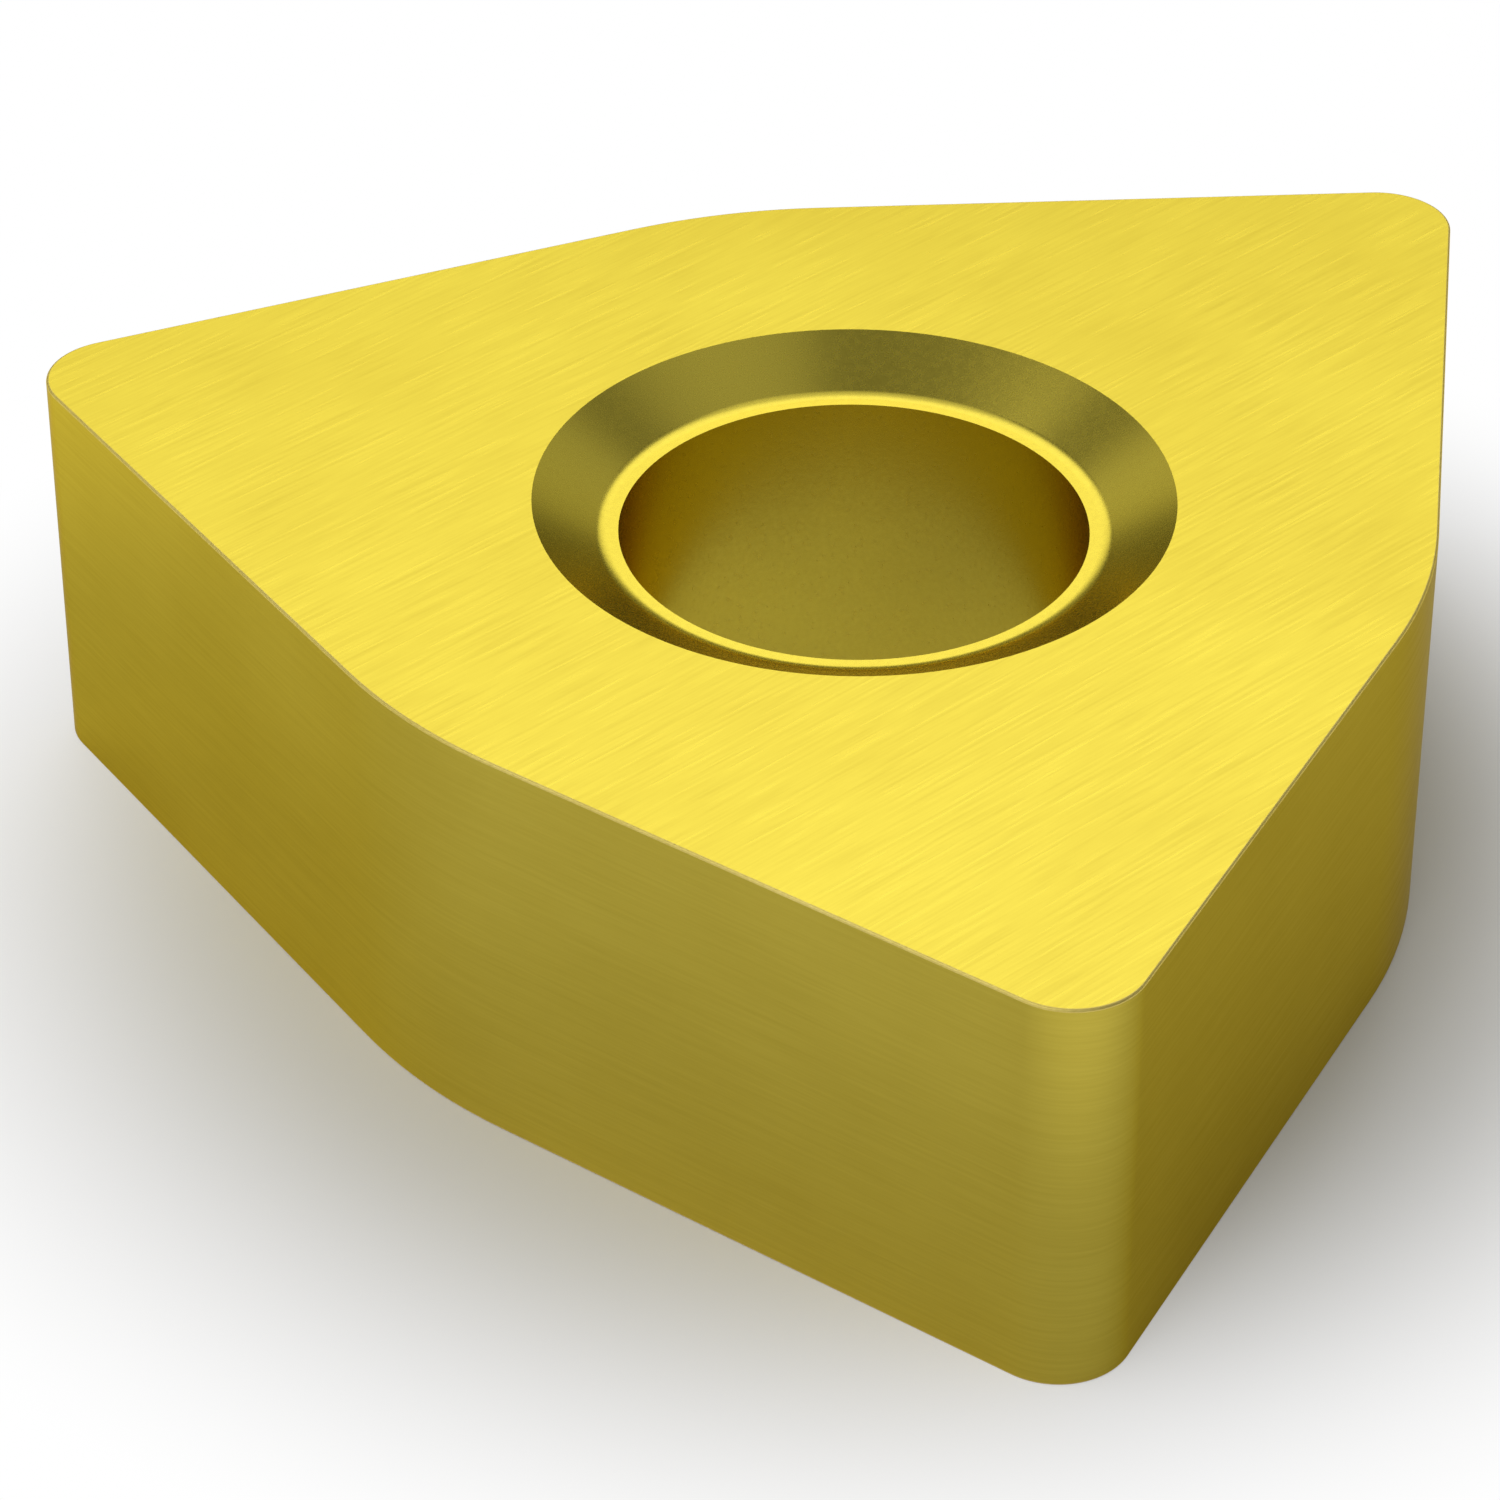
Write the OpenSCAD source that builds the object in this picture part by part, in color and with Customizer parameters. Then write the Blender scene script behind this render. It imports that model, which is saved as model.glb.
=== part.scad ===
// Trigon turning insert: a pressed, sintered and coated carbide plate.
// Three cutting noses stand round an inscribed circle on each of two ground faces.
// The sides stand square to the faces, so both faces cut, and they are the same.
// The frame: the origin is on the hole's axis in the plane of the lower face,
// +Z goes up through the hole and +X goes from the axis to the tip of one nose.

/* [Plate] */
// Diameter of the inscribed circle, which all six sides touch
inscribed_d = 12.7; // [9.525:0.005:15.875]
// Distance between the two ground faces
thickness = 4.76; // [3.18:0.01:6.35]
// Angle between the two sides that meet at a nose
nose_angle = 80; // [72:1:88]

/* [Cutting edge] */
// Radius of each nose, seen from above
nose_r = 0.8; // [0.4:0.1:1.6]
// Radius of the hone that takes the sharpness off the whole cutting edge
hone_r = 0.03; // [0.02:0.01:0.08]

/* [Centre hole] */
// Diameter of the straight bore that the clamping pin goes through
bore_d = 5.16; // [3.8:0.01:5.8]
// Width of the flat ledge between the bore and the countersink's cone
ledge_w = 0.195; // [0.1:0.005:0.4]
// Depth of the ledge below each face
sink_depth = 0.43; // [0.2:0.01:0.8]
// Angle between the countersink's cone and the face
sink_slope = 30; // [20:1:50]
// Radius of the blend between the cone and the ledge
sink_blend_r = 0.3; // [0.1:0.05:0.4]

/* [Finish] */
// Colour of the titanium nitride coating
coating_colour = "#F5DC50";

/* [Hidden] */
$fn = 96;
nose_count = 3;
nose_step = 360 / nose_count;
inscribed_r = inscribed_d / 2;
bore_r = bore_d / 2;
// How far a cutting shape runs past the surface that it cuts
cut_past = 1;

// A side's outward normal lies this far round from the nose that the side runs to
normal_turn = 90 - nose_angle / 2;
// Length of the straight side, from its foot on the inscribed circle to the nose's arc
side_l = (inscribed_r - nose_r) * tan(normal_turn);
// Height at which the upper face's hone starts
wall_top = thickness - hone_r;
// Radius that holds the whole plate
reach = inscribed_r / cos(normal_turn);

// Where the cone and the ledge would meet if nothing rounded their corner
corner_r = bore_r + ledge_w;
// The blend stays on the ledge, whatever its radius
blend_r = min(sink_blend_r, ledge_w / tan(sink_slope / 2));
// Radius about the hole's axis at which the blend leaves the ledge
blend_start_r = corner_r - blend_r * tan(sink_slope / 2);
// Height above the ledge at which the blend runs into the cone
blend_rise = blend_r * (1 - cos(sink_slope));
blend_end_r = blend_start_r + blend_r * sin(sink_slope);
// Radius of the cone's extension above the face
sink_past_r = corner_r + (sink_depth + cut_past) / tan(sink_slope);

// Section from an axis out to the wall, with the lower edge honed
module honed_section(wall_r) {
  square([wall_r - hone_r, wall_top]);
  translate([0, hone_r])
    square([wall_r, wall_top - hone_r]);
  translate([wall_r - hone_r, hone_r])
    circle(r = hone_r);
}

// The disc on the inscribed circle: its rim is the rounded bend between two noses
module inscribed_disc() {
  rotate_extrude()
    honed_section(inscribed_r);
}

// One straight side with its foot on the +X axis, and the nose's arc at its end
module side_and_arc() {
  translate([0, side_l, 0])
    rotate([90, 0, 0])
      linear_extrude(height = side_l)
        honed_section(inscribed_r);
  translate([inscribed_r - nose_r, side_l, 0])
    rotate_extrude(angle = 90)
      honed_section(nose_r);
}

// Half of the nose on the +X axis, cut off along the nose's own middle plane
module half_nose() {
  intersection() {
    rotate([0, 0, -normal_turn])
      side_and_arc();
    translate([-cut_past, -reach, -cut_past])
      cube([reach + 2 * cut_past, reach, thickness + 2 * cut_past]);
  }
}

module nose() {
  half_nose();
  mirror([0, 1, 0])
    half_nose();
}

// All of the plate but the upper face's hone
module lower_body() {
  inscribed_disc();
  for (i = [0 : nose_count - 1])
    rotate([0, 0, i * nose_step])
      nose();
}

// Both faces are alike, so the lower body and its mirror image make up the plate
module plate() {
  lower_body();
  translate([0, 0, thickness])
    mirror([0, 0, 1])
      lower_body();
}

// Section of one countersink, with the face at height 0 and the ledge below it
module sink_section() {
  polygon([
    [0, -sink_depth],
    [blend_start_r, -sink_depth],
    [blend_end_r, blend_rise - sink_depth],
    [sink_past_r, cut_past],
    [0, cut_past]
  ]);
  translate([blend_start_r, blend_r - sink_depth])
    circle(r = blend_r);
}

// The hole: a straight bore with the same countersink at each face
module centre_hole() {
  rotate_extrude() {
    translate([0, -cut_past])
      square([bore_r, thickness + 2 * cut_past]);
    translate([0, thickness])
      sink_section();
    mirror([0, 1])
      sink_section();
  }
}

module insert() {
  color(coating_colour)
    difference() {
      plate();
      centre_hole();
    }
}

insert();
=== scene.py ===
# %% [markdown]
# # A gold-coated turning insert
# A turning insert is the small plate that does the cutting on a lathe. It is pressed
# from tungsten carbide powder, sintered, ground, and given a thin gold coating of titanium nitride.
# The solid model is already in the frame. This lesson builds the part that is seen: the
# same plate with finer rounds, and with the finish that each of its surfaces really has.

# %% Load the solid model
import math
import bmesh
import bpy
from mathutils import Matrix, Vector


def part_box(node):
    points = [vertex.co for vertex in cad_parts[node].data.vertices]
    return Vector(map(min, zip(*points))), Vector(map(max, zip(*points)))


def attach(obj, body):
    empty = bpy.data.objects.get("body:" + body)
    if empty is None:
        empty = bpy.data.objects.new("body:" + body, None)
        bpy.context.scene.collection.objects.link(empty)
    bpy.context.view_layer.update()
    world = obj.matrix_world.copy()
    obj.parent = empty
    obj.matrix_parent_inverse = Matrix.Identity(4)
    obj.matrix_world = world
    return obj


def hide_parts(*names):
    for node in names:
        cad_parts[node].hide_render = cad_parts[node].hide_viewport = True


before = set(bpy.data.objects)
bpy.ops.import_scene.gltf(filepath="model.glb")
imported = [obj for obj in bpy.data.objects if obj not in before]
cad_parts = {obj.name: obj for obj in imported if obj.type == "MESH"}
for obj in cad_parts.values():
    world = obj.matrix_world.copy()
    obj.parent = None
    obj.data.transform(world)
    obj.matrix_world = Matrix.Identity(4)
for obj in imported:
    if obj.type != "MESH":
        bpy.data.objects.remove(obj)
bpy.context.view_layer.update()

# %% [markdown]
# ## Sizes
# The thickness is read off the solid model, and the other sizes are those of the part's source.
# The plate is modelled with one unit to the millimetre, because Blender's tools merge and
# clamp at distances that are small for a house and large for a 0.03 mm edge. Metres come last.

# %% Sizes in millimetres
MM = 0.001
low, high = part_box("insert")
THICKNESS = (high.z - low.z) / MM
INSCRIBED_R = 6.35
NOSE_R = 0.8
NOSE_ANGLE = math.radians(80)
NOSE_COUNT = 3
HONE_R = 0.03
BORE_R = 2.58
LEDGE_W = 0.195
SINK_DEPTH = 0.43
SINK_SLOPE = math.radians(30)
SINK_BLEND_R = 0.3

MIDDLE = THICKNESS / 2
CORNER_R = BORE_R + LEDGE_W
MOUTH_R = CORNER_R + SINK_DEPTH / math.tan(SINK_SLOPE)
print(f"thickness {THICKNESS:.3f} mm, radius {INSCRIBED_R:.3f} mm, mouth radius {MOUTH_R:.3f} mm")

# %% [markdown]
# ## Choosing what a tool acts on
# By hand, the next edges are clicked. In a script they are chosen by where they are. This helper
# deselects everything, selects each edge that passes a test, and says how many it found,
# which shows at once when a test is wrong. The tests ask for a height or for the distance
# from the hole's axis, and places closer than a thousandth of a millimetre count as the same.

# %% Helpers that select edges by place
SAME_PLACE = 0.001


def select_edges(test):
    bpy.ops.mesh.select_mode(type="EDGE")
    bpy.ops.mesh.select_all(action="DESELECT")
    mesh = bmesh.from_edit_mesh(bpy.context.object.data)
    for edge in mesh.edges:
        edge.select_set(test(edge))
    mesh.select_flush_mode()
    bmesh.update_edit_mesh(bpy.context.object.data)
    print("selected", sum(edge.select for edge in mesh.edges), "edges")


def at_height(edge, height):
    return all(abs(vertex.co.z - height) < SAME_PLACE for vertex in edge.verts)


def radii(edge):
    return [vertex.co.xy.length for vertex in edge.verts]


# %% [markdown]
# ## The outline
# Seen from above, the plate has three noses. Between two noses it bends by 20 degrees,
# and the bend is an arc of the inscribed circle itself. The outline could be a circle pulled
# into shape, but then its straights would never be quite straight. Here one point draws it, as a
# pen would: Spin draws each arc and Extrude draws each straight, three times round.
# Spin turns clockwise round its axis, so the axis points down to draw anticlockwise.

# %% Draw the outline with one point
NORMAL_TURN = math.pi / 2 - NOSE_ANGLE / 2
BEND_TURN = 2 * math.pi / NOSE_COUNT - 2 * NORMAL_TURN
SIDE_L = (INSCRIBED_R - NOSE_R) * math.tan(NORMAL_TURN)
NOSE_CENTRE_R = (INSCRIBED_R - NOSE_R) / math.cos(NORMAL_TURN)
BEND_STEPS = 10
NOSE_STEPS = 26
DOWN = (0, 0, -1)


def towards(angle, length=1.0):
    return Vector((math.cos(angle), math.sin(angle), 0)) * length


bpy.ops.object.select_all(action="DESELECT")
bpy.ops.mesh.primitive_plane_add(size=1)
insert = bpy.context.object
insert.name = "gold_insert"
insert.data.name = "gold_insert"
bpy.ops.object.mode_set(mode="EDIT")
bpy.ops.mesh.merge(type="CENTER")
bpy.ops.transform.translate(value=towards(NORMAL_TURN, INSCRIBED_R))
for nose in range(NOSE_COUNT):
    bend_start = NORMAL_TURN + nose * 2 * math.pi / NOSE_COUNT
    bend_end = bend_start + BEND_TURN
    nose_centre = towards(bend_end + NORMAL_TURN, NOSE_CENTRE_R)
    to_nose = towards(bend_end + math.pi / 2, SIDE_L)
    from_nose = towards(bend_end + 2 * NORMAL_TURN + math.pi / 2, SIDE_L)
    bpy.ops.mesh.spin(steps=BEND_STEPS, angle=BEND_TURN, center=(0, 0, 0), axis=DOWN)
    bpy.ops.mesh.extrude_vertices_move(TRANSFORM_OT_translate={"value": to_nose})
    bpy.ops.mesh.spin(steps=NOSE_STEPS, angle=2 * NORMAL_TURN, center=nose_centre, axis=DOWN)
    bpy.ops.mesh.extrude_vertices_move(TRANSFORM_OT_translate={"value": from_nose})
bpy.ops.mesh.select_all(action="SELECT")
bpy.ops.mesh.remove_doubles(threshold=SAME_PLACE)

# %% [markdown]
# The straights are divided too, so that the faces laid between this outline and the round hole
# don't grow long and thin.

# %% Divide the straights
SIDE_CUTS = 3
select_edges(lambda edge: edge.calc_length() > SIDE_L / 2)
bpy.ops.mesh.subdivide(number_cuts=SIDE_CUTS)
outline_count = len(bmesh.from_edit_mesh(insert.data).verts)
print("the outline has", outline_count, "points")

# %% [markdown]
# ## The upper half
# Both faces are alike, so only the upper half is modelled and the lower half is its mirror image.
# The outline is pulled up into the wall. The face is a ring between the outline and the
# round mouth of the hole. A circle with as many points as the outline lets Bridge lay one
# clean row of faces between them.

# %% Raise the wall and lay the ground face
bpy.ops.mesh.select_all(action="SELECT")
bpy.ops.mesh.extrude_edges_move(TRANSFORM_OT_translate={"value": (0, 0, MIDDLE)})
bpy.ops.mesh.primitive_circle_add(vertices=outline_count, radius=MOUTH_R, location=(0, 0, MIDDLE))
select_edges(lambda edge: at_height(edge, MIDDLE))
bpy.ops.mesh.bridge_edge_loops()

# %% [markdown]
# ## The hole
# The hole was formed by a pin in the press, so it has a wide countersink, a narrow flat ledge and a
# straight bore. It could be cut with a Boolean, but pulling the mouth's own edge loop
# inwards keeps the rows of faces clean.

# %% Pull the mouth down into a countersink, a ledge and a bore
def pull_loop(drop, scale):
    bpy.ops.mesh.extrude_edges_move(TRANSFORM_OT_translate={"value": (0, 0, -drop)})
    bpy.ops.transform.resize(value=(scale, scale, 1), center_override=(0, 0, 0))


select_edges(lambda edge: at_height(edge, MIDDLE) and max(radii(edge)) < MOUTH_R + SAME_PLACE)
pull_loop(SINK_DEPTH, CORNER_R / MOUTH_R)
pull_loop(0, BORE_R / CORNER_R)
pull_loop(MIDDLE - SINK_DEPTH, 1)

# %% [markdown]
# A press tool has no sharp inner corners, because the powder would tear there. So the corner
# where the cone meets the ledge is a round of 0.3 mm, and Bevel makes it from that one loop of
# edges. Bevel wants the distance from the corner to where the round starts, which follows from
# the radius and from half the angle that the surface turns through.

# %% Round the corner between the cone and the ledge
BLEND_STEPS = 6
BLEND_REACH = SINK_BLEND_R * math.tan(SINK_SLOPE / 2)
LEDGE_Z = MIDDLE - SINK_DEPTH
select_edges(lambda edge: at_height(edge, LEDGE_Z) and min(radii(edge)) > CORNER_R - SAME_PLACE)
bpy.ops.mesh.bevel(offset=BLEND_REACH, segments=BLEND_STEPS, affect="EDGES")

# %% [markdown]
# ## The honed edge
# A carbide edge that is left sharp chips at once, so every insert is honed: brushes round its edge
# to a few hundredths of a millimetre. It is too small to see as a shape, but it
# catches a thin line of light, and without that line a metal edge looks drawn.

# %% Hone the cutting edge
HONE_STEPS = 4
ROUND_PROFILE = 0.5
select_edges(lambda edge: at_height(edge, MIDDLE) and min(radii(edge)) > MOUTH_R + SAME_PLACE)
bpy.ops.mesh.bevel(offset=HONE_R, segments=HONE_STEPS, profile=ROUND_PROFILE, affect="EDGES")
bpy.ops.object.mode_set(mode="OBJECT")

# %% [markdown]
# ## The whole plate
# A Mirror modifier adds the lower half, and the halves are merged where they meet.
# Mirroring turns faces inside out, so the normals are worked out again on the closed plate.
# The rounds turn by less than 28 degrees from face to face and are shaded smooth, and the
# real corners stay sharp. Weighted Normal keeps the ground faces flat beside the rounds.

# %% Mirror, close and shade the plate
SMOOTH_UP_TO = math.radians(28)
mirror = insert.modifiers.new("lower half", "MIRROR")
mirror.use_axis = (False, False, True)
mirror.merge_threshold = SAME_PLACE
bpy.ops.object.modifier_apply(modifier=mirror.name)
bpy.ops.object.mode_set(mode="EDIT")
bpy.ops.mesh.select_all(action="SELECT")
bpy.ops.mesh.remove_doubles(threshold=SAME_PLACE)
bpy.ops.mesh.normals_make_consistent(inside=False)
bpy.ops.transform.translate(value=(0, 0, MIDDLE))
bpy.ops.object.mode_set(mode="OBJECT")
bpy.ops.object.shade_smooth_by_angle(angle=SMOOTH_UP_TO)
weighted = insert.modifiers.new("flat faces stay flat", "WEIGHTED_NORMAL")
weighted.keep_sharp = True
bpy.ops.object.modifier_apply(modifier=weighted.name)

# %% [markdown]
# The modelling is done, so the plate shrinks from millimetres to metres and its scale is applied.
# Its volume is then measured and its edges counted. A solid has no open edge.

# %% Bring the plate from millimetres to metres
insert.scale = (MM, MM, MM)
bpy.ops.object.transform_apply(location=False, rotation=False, scale=True)
check = bmesh.new()
check.from_mesh(insert.data)
open_edges = sum(not edge.is_manifold for edge in check.edges)
volume = check.calc_volume() / MM ** 3
print(f"volume {volume:.2f} cubic mm, {open_edges} open edges, {len(check.faces)} faces")
check.free()

# %% [markdown]
# ## The coating
# Titanium nitride is a hard gold-coloured compound that conducts, and reflects, as a metal does.
# Its layer is a few thousandths of a millimetre thick and follows every mark of the surface
# below it. So one gold gives five finishes, by what was done to the carbide before it was coated:
# - the two faces were ground flat, and keep fine straight lines,
# - the sides were ground all round, and keep lines that run along them, and their gold is painted a
#   shade darker as painted shade,
# - the cutting edge was brushed with grit, which leaves it satin, and its gold is painted paler as
#   a painted highlight,
# - the countersink was pressed by a polished punch, and is smooth with a faint grain,
# - the bore was only pressed and sintered, and keeps the grain of the powder.
#
# Colours are written as on a screen, in hex, and one helper turns them into the even scale
# of light that Blender reckons in. Another adds a node with its settings and links.

# %% Helpers for materials
def linear(hex_colour):
    channels = [int(hex_colour[i:i + 2], 16) / 255 for i in (1, 3, 5)]
    return [c / 12.92 if c <= 0.04045 else ((c + 0.055) / 1.055) ** 2.4 for c in channels] + [1]


def add(tree, kind, links=None, inputs=None, **settings):
    node = tree.nodes.new(kind)
    for name, value in settings.items():
        setattr(node, name, value)
    for name, value in (inputs or {}).items():
        node.inputs[name].default_value = value
    for name, source in (links or {}).items():
        tree.links.new(source, node.inputs[name])
    return node


# %% [markdown]
# Titanium nitride sends back about three quarters of red light, less of green and very little of
# blue. Seen edge-on a metal turns white in Blender unless Specular Tint holds it back, and
# the real coating stays gold nearly all the way, so the tint is a pale gold.
# The marks are a Noise texture. A Mapping node draws it out along the grinding direction, and
# the same texture lifts the surface, changes how rough it is and lightens or deepens the
# gold a little, because light gets lost in a groove. A second, broad Noise varies the gold over
# millimetres, as the coating's thickness does. A Noise texture seldom leaves the values 0.3 to
# 0.7, and two of them added seldom leave 0.7 to 1.3, so Map Range starts and ends there.

# %% Titanium nitride
GOLD = linear("#DECC4E")
GOLD_DEEP = linear("#D6C248")
EDGE_ON = linear("#F0DCA2")
MARK_DETAIL = 3.0
MARK_ROUGHNESS = 0.6
CLOUD_MM = 3.0
CLOUD_DETAIL = 2.0
ONE_NOISE = {"From Min": 0.3, "From Max": 0.7}
TWO_NOISES = {"From Min": 0.7, "From Max": 1.3}


def titanium_nitride(name, stretch, grain_mm, depth_mm, roughness, spread,
                     light=GOLD, deep=GOLD_DEEP):
    material = bpy.data.materials.new(name)
    material.use_nodes = True
    tree = material.node_tree
    shader = tree.nodes["Principled BSDF"]
    shader.inputs["Metallic"].default_value = 1.0
    shader.inputs["Specular Tint"].default_value = EDGE_ON
    place = add(tree, "ShaderNodeTexCoord").outputs["Object"]
    drawn_out = add(tree, "ShaderNodeMapping", {"Vector": place}, {"Scale": stretch})
    marks = add(tree, "ShaderNodeTexNoise", {"Vector": drawn_out.outputs["Vector"]},
                {"Scale": 1 / (grain_mm * MM), "Detail": MARK_DETAIL,
                 "Roughness": MARK_ROUGHNESS}).outputs["Fac"]
    cloud = add(tree, "ShaderNodeTexNoise", {"Vector": place},
                {"Scale": 1 / (CLOUD_MM * MM), "Detail": CLOUD_DETAIL}).outputs["Fac"]
    both = add(tree, "ShaderNodeMath", {0: marks, 1: cloud}, operation="ADD")
    shade = add(tree, "ShaderNodeMapRange", {"Value": both.outputs["Value"]}, TWO_NOISES)
    colour = add(tree, "ShaderNodeMix", {"Factor": shade.outputs["Result"]},
                 {"A": deep, "B": light}, data_type="RGBA")
    tree.links.new(colour.outputs["Result"], shader.inputs["Base Color"])
    rough = add(tree, "ShaderNodeMapRange", {"Value": marks},
                ONE_NOISE | {"To Min": roughness + spread, "To Max": roughness - spread})
    tree.links.new(rough.outputs["Result"], shader.inputs["Roughness"])
    bump = add(tree, "ShaderNodeBump", {"Height": marks}, {"Distance": depth_mm * MM})
    tree.links.new(bump.outputs["Normal"], shader.inputs["Normal"])
    print(f"{name}: marks {grain_mm} mm apart and up to {depth_mm * 1000:.2f} thousandths deep")
    return material


# %% [markdown]
# ### Ground faces and sides
# A grinding wheel leaves lines a hundredth of a millimetre apart and half a thousandth deep. They
# make the gold satin: a softbox shows in it as a soft sheen that breaks into streaks.
# The lines are drawn 0.04 mm apart, because finer ones would be lost between the picture's pixels.

# %% The two ground finishes
ALONG_X = (0.03, 1, 1)
ALONG_SIDES = (0.03, 0.03, 1)
# The sides' gold is painted a shade darker than the faces': painted shade on the sides.
SIDE_GOLD_PAINTED_SHADE = linear("#D6C34F")
SIDE_GOLD_DEEP_PAINTED_SHADE = linear("#CBB746")
ground_faces = titanium_nitride("titanium nitride on ground faces", ALONG_X,
                                grain_mm=0.04, depth_mm=0.0005, roughness=0.3, spread=0.035)
ground_sides_painted_shade = titanium_nitride("titanium nitride on ground sides with painted shade", ALONG_SIDES,
                                grain_mm=0.04, depth_mm=0.0006, roughness=0.32, spread=0.035,
                                light=SIDE_GOLD_PAINTED_SHADE, deep=SIDE_GOLD_DEEP_PAINTED_SHADE)

# %% [markdown]
# ### Brushed edge and pressed hole
# The brushed edge has no lines of its own. It is satin, and its gold is painted paler: a painted
# highlight that draws a light line round each face. The punch leaves the countersink smoother than
# a wheel does, so it shows the lamps as soft bands. Carbide powder has grains of a few thousandths
# of a millimetre. They are drawn 0.08 mm across in the countersink and 0.06 mm in the bore, about
# as fine as the picture shows.

# %% The brushed, pressed and sintered finishes
ALL_WAYS = (1, 1, 1)
# The edge's gold is painted paler than the faces': a painted highlight line round each face.
HONE_GOLD_PAINTED_HIGHLIGHT = linear("#EDDA80")
HONE_GOLD_DEEP_PAINTED_HIGHLIGHT = linear("#E2CD6B")
SINK_GOLD_DEEP = linear("#DBC84C")
brushed_edge_painted_highlight = titanium_nitride("titanium nitride on the brushed edge with painted highlight", ALL_WAYS,
                                grain_mm=0.04, depth_mm=0.00002, roughness=0.5, spread=0.015,
                                light=HONE_GOLD_PAINTED_HIGHLIGHT, deep=HONE_GOLD_DEEP_PAINTED_HIGHLIGHT)
pressed_sink = titanium_nitride("titanium nitride on the pressed countersink", ALL_WAYS,
                                grain_mm=0.08, depth_mm=0.0001, roughness=0.27, spread=0.015,
                                light=GOLD, deep=SINK_GOLD_DEEP)
sintered_bore = titanium_nitride("titanium nitride on the sintered bore", ALL_WAYS,
                                 grain_mm=0.06, depth_mm=0.001, roughness=0.25, spread=0.03)

# %% [markdown]
# Each face of the mesh now gets the finish of the surface it lies on. By hand, each region would
# be selected and assigned. Here its distance from the hole's axis and the way it faces tell: a
# ground face points straight up or down, a side points straight out, and the hone lies between.

# %% Give each surface its finish
STRAIGHT = 0.999
finishes = {"face": ground_faces, "side": ground_sides_painted_shade, "hone": brushed_edge_painted_highlight,
            "sink": pressed_sink, "bore": sintered_bore}
for material in finishes.values():
    insert.data.materials.append(material)


def surface_of(face):
    reach = max(insert.data.vertices[i].co.xy.length for i in face.vertices) / MM
    if reach < BORE_R + SAME_PLACE:
        return "bore"
    if reach < MOUTH_R + SAME_PLACE:
        return "sink"
    if abs(face.normal.z) > STRAIGHT:
        return "face"
    if face.normal.xy.length > STRAIGHT:
        return "side"
    return "hone"


names = list(finishes)
counts = dict.fromkeys(names, 0)
for face in insert.data.polygons:
    surface = surface_of(face)
    face.material_index = names.index(surface)
    counts[surface] += 1
print("faces of each finish:", counts)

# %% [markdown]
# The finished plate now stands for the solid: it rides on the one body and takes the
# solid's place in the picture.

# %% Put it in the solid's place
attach(insert, "root")
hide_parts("insert")
print(insert.name, "replaces the solid")

# %% [markdown]
# ## The studio
# A metal shows what stands round it, so the studio is half of its look. The upper face mirrors
# the softbox behind the insert, and the sides mirror the paper that it lies on.
# The paper is matt and near white, and it lies just below the insert, so that the two never
# flicker.

# %% Paper floor
FLOOR_RADIUS = 1.0
FLOOR_CORNERS = 64
FLOOR_GAP = 0.000002
bpy.ops.mesh.primitive_circle_add(vertices=FLOOR_CORNERS, radius=FLOOR_RADIUS, fill_type="NGON",
                                  location=(0, 0, -FLOOR_GAP))
floor = bpy.context.object
floor.name = "studio_floor"
paper = bpy.data.materials.new("matt white paper")
paper.use_nodes = True
tree = paper.node_tree
matt = tree.nodes["Principled BSDF"]
matt.inputs["Base Color"].default_value = linear("#EFEFEF")
matt.inputs["Roughness"].default_value = 1.0
matt.inputs["Specular IOR Level"].default_value = 0.0
floor.data.materials.append(paper)
print("paper", 2 * FLOOR_RADIUS, "m across")

# %% [markdown]
# Close to the insert the paper keeps its shadow. Further out it turns to plain white for
# whatever looks at it straight or in a mirror, the camera and the metal alike, so the
# background is white without any more light on the insert. For the camera it does so
# nearer, because the sides of the insert have to mirror the shaded paper at their feet.

# %% White paper further out
WHITE_STARTS_MM = 12
WHITE_ENDS_MM = 19
SOONER_FOR_CAMERA_MM = 6
spot = add(tree, "ShaderNodeTexCoord").outputs["Object"]
distance = add(tree, "ShaderNodeVectorMath", {0: spot}, operation="LENGTH").outputs["Value"]
ray = add(tree, "ShaderNodeLightPath").outputs
reach = add(tree, "ShaderNodeMath", {0: ray["Is Camera Ray"], 2: distance},
            {1: SOONER_FOR_CAMERA_MM * MM}, operation="MULTIPLY_ADD").outputs["Value"]
far = add(tree, "ShaderNodeMapRange", {"Value": reach},
          {"From Min": WHITE_STARTS_MM * MM, "From Max": WHITE_ENDS_MM * MM},
          interpolation_type="SMOOTHSTEP").outputs["Result"]
seen = add(tree, "ShaderNodeMath", {0: ray["Is Camera Ray"], 1: ray["Is Glossy Ray"]},
           operation="MAXIMUM").outputs["Value"]
seen = add(tree, "ShaderNodeMath", {0: seen, 1: ray["Is Transmission Ray"]},
           operation="MAXIMUM").outputs["Value"]
outside = add(tree, "ShaderNodeMath", {0: far, 1: seen}, operation="MULTIPLY").outputs["Value"]
print("the paper turns white from", WHITE_STARTS_MM, "to", WHITE_ENDS_MM, "mm out")

# %% [markdown]
# Little light reaches the paper under the hole, and the bore mirrors nothing else. So the
# paper there glows a quarter white for the metal alone: a painted reflection that lights the bore.
# The two shares of white are added, and they mix the matt paper with a plain white of strength 1.

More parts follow.
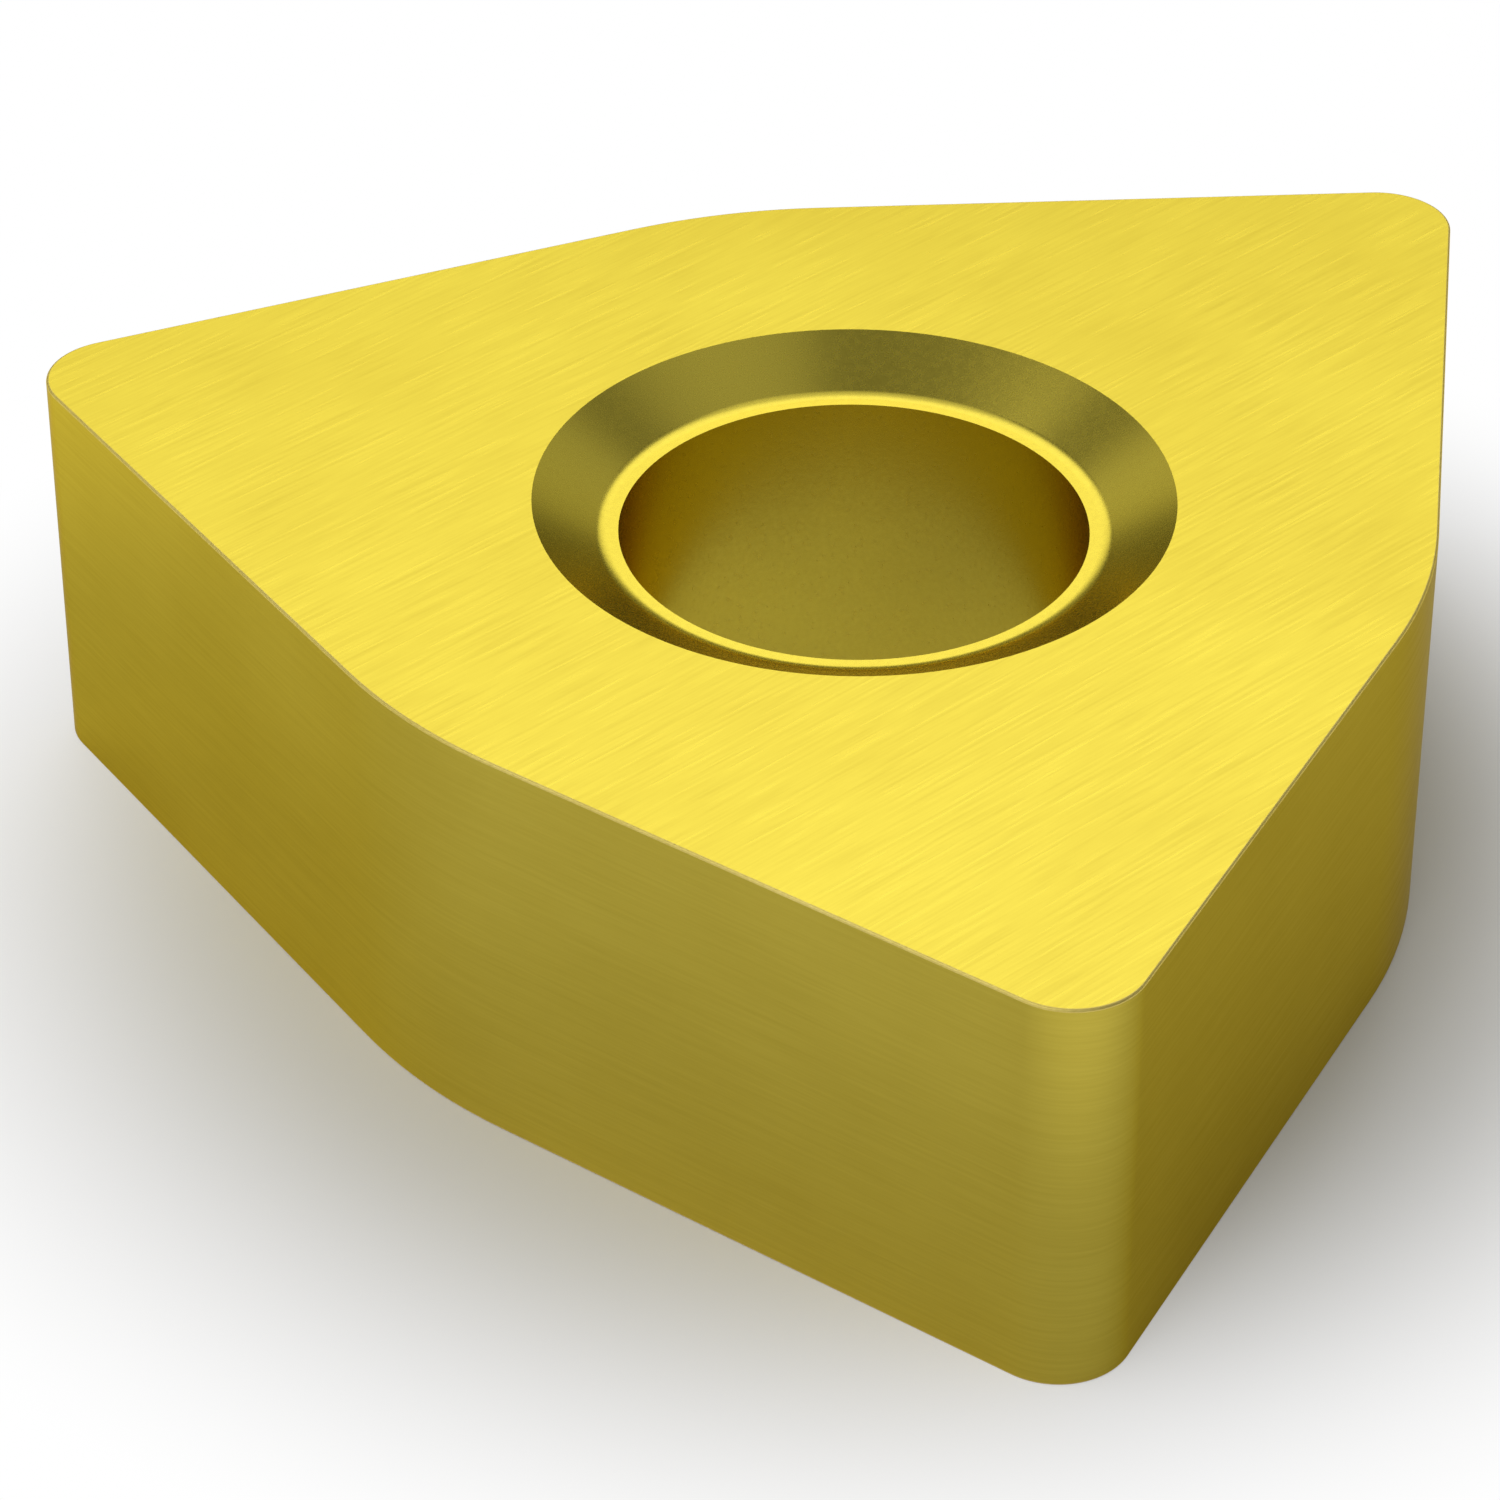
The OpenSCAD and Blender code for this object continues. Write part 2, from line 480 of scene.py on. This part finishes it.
# %% Painted glow on the paper under the hole
PAINTED_GLOW_UNDER_HOLE = 0.25
hole = add(tree, "ShaderNodeMapRange", {"Value": distance},
           {"From Min": BORE_R * MM, "From Max": MOUTH_R * MM, "To Min": PAINTED_GLOW_UNDER_HOLE, "To Max": 0.0})
painted_glow_in_bore = add(tree, "ShaderNodeMath", {0: hole.outputs["Result"], 1: ray["Is Glossy Ray"]},
              operation="MULTIPLY").outputs["Value"]
share = add(tree, "ShaderNodeMath", {0: outside, 1: painted_glow_in_bore}, operation="ADD").outputs["Value"]
white = add(tree, "ShaderNodeEmission", None, {"Color": (1, 1, 1, 1), "Strength": 1.0})
blend = add(tree, "ShaderNodeMixShader",
            {0: share, 1: matt.outputs["BSDF"], 2: white.outputs["Emission"]})
tree.links.new(blend.outputs["Shader"], tree.nodes["Material Output"].inputs["Surface"])
print("under the hole the metal sees paper that is white to a share of", PAINTED_GLOW_UNDER_HOLE)

# %% [markdown]
# ## The camera
# It looks at the insert from where the photograph was taken: 43 degrees round from the front, 35
# degrees down, and close enough to show the perspective. Its turn is kept by name, because the
# lamps are placed as a photographer places them, round the line of sight.

# %% Camera
VIEW_TURN = math.radians(-43.19)
VIEW_DROP = math.radians(34.99)
CAMERA_MM = 61.85
AIM_RIGHT_MM = -1.137
AIM_DOWN_MM = 2.784
LENS = 136.13

right = towards(VIEW_TURN)
ahead = towards(VIEW_TURN + math.pi / 2, math.cos(VIEW_DROP)) - Vector((0, 0, math.sin(VIEW_DROP)))
down = ahead.cross(right)
aim = Vector((0, 0, THICKNESS)) + right * AIM_RIGHT_MM + down * AIM_DOWN_MM
bpy.ops.object.camera_add(location=(aim - ahead * CAMERA_MM) * MM,
                          rotation=(math.pi / 2 - VIEW_DROP, 0, VIEW_TURN))
camera = bpy.context.object
camera.data.lens = LENS
camera.data.clip_start = MM
bpy.context.scene.camera = camera
print("camera at", tuple(camera.location))

# %% [markdown]
# ## The lamps
# A softbox is a lamp behind a white cloth. Each is given as it is seen from the insert: how far
# round it stands from the right of the picture, how high it stands, how wide and how tall it
# looks, all in degrees, and how bright its cloth is, where 1 is the white of a screen. Blender
# wants watts, so the brightness is multiplied by the cloth's area and by pi.

# %% A helper that hangs a softbox
LAMP_MM = 300


def softbox(name, turn, height, wide, tall, brightness):
    height = math.radians(height)
    direction = towards(VIEW_TURN + math.radians(turn), math.cos(height))
    direction.z = math.sin(height)
    bpy.ops.object.light_add(type="AREA", location=direction * LAMP_MM * MM)
    lamp = bpy.context.object
    lamp.name = name
    lamp.rotation_euler = direction.to_track_quat("Z", "Y").to_euler()
    lamp.data.shape = "RECTANGLE"
    lamp.data.size = 2 * LAMP_MM * MM * math.tan(math.radians(wide / 2))
    lamp.data.size_y = 2 * LAMP_MM * MM * math.tan(math.radians(tall / 2))
    lamp.data.energy = brightness * math.pi * lamp.data.size * lamp.data.size_y
    print(f"{name}: {lamp.data.size:.2f} by {lamp.data.size_y:.2f} m, {lamp.data.energy:.3f} W")


# %% [markdown]
# The back softbox is the one that the upper face mirrors, and the upper back one takes over when
# the insert is looked at from higher up. The left one lights the paper that the sides mirror,
# and the high one, nearly overhead, lights the paper close in front and the hole.
# The dim ones give the countersink and the brushed edge something to mirror all round, and
# the upper face too, when it is looked at from behind.

# %% Softboxes
softbox("back_softbox", turn=90, height=42, wide=36, tall=34, brightness=1.48)
softbox("upper_back_softbox", turn=90, height=68, wide=40, tall=18, brightness=0.6)
softbox("left_softbox", turn=202, height=42, wide=64, tall=48, brightness=1.1)
softbox("high_softbox", turn=245, height=64, wide=18, tall=18, brightness=2.2)
softbox("back_left_softbox", turn=136, height=24, wide=40, tall=28, brightness=0.45)
softbox("back_right_softbox", turn=40, height=26, wide=48, tall=28, brightness=0.34)
softbox("right_softbox", turn=0, height=58, wide=40, tall=50, brightness=0.27)
softbox("front_softbox", turn=270, height=40, wide=60, tall=44, brightness=0.4)

# %% [markdown]
# Last comes the room: a faint even white from all sides. Colours are shown as they are
# written, so the view transform is Standard.

# %% Room light and view
ROOM_BRIGHTNESS = 0.1
world = bpy.data.worlds.new("studio")
bpy.context.scene.world = world
world.use_nodes = True
room = world.node_tree.nodes["Background"]
room.inputs["Color"].default_value = (1, 1, 1, 1)
room.inputs["Strength"].default_value = ROOM_BRIGHTNESS
bpy.context.scene.view_settings.view_transform = "Standard"
print("room light", ROOM_BRIGHTNESS)
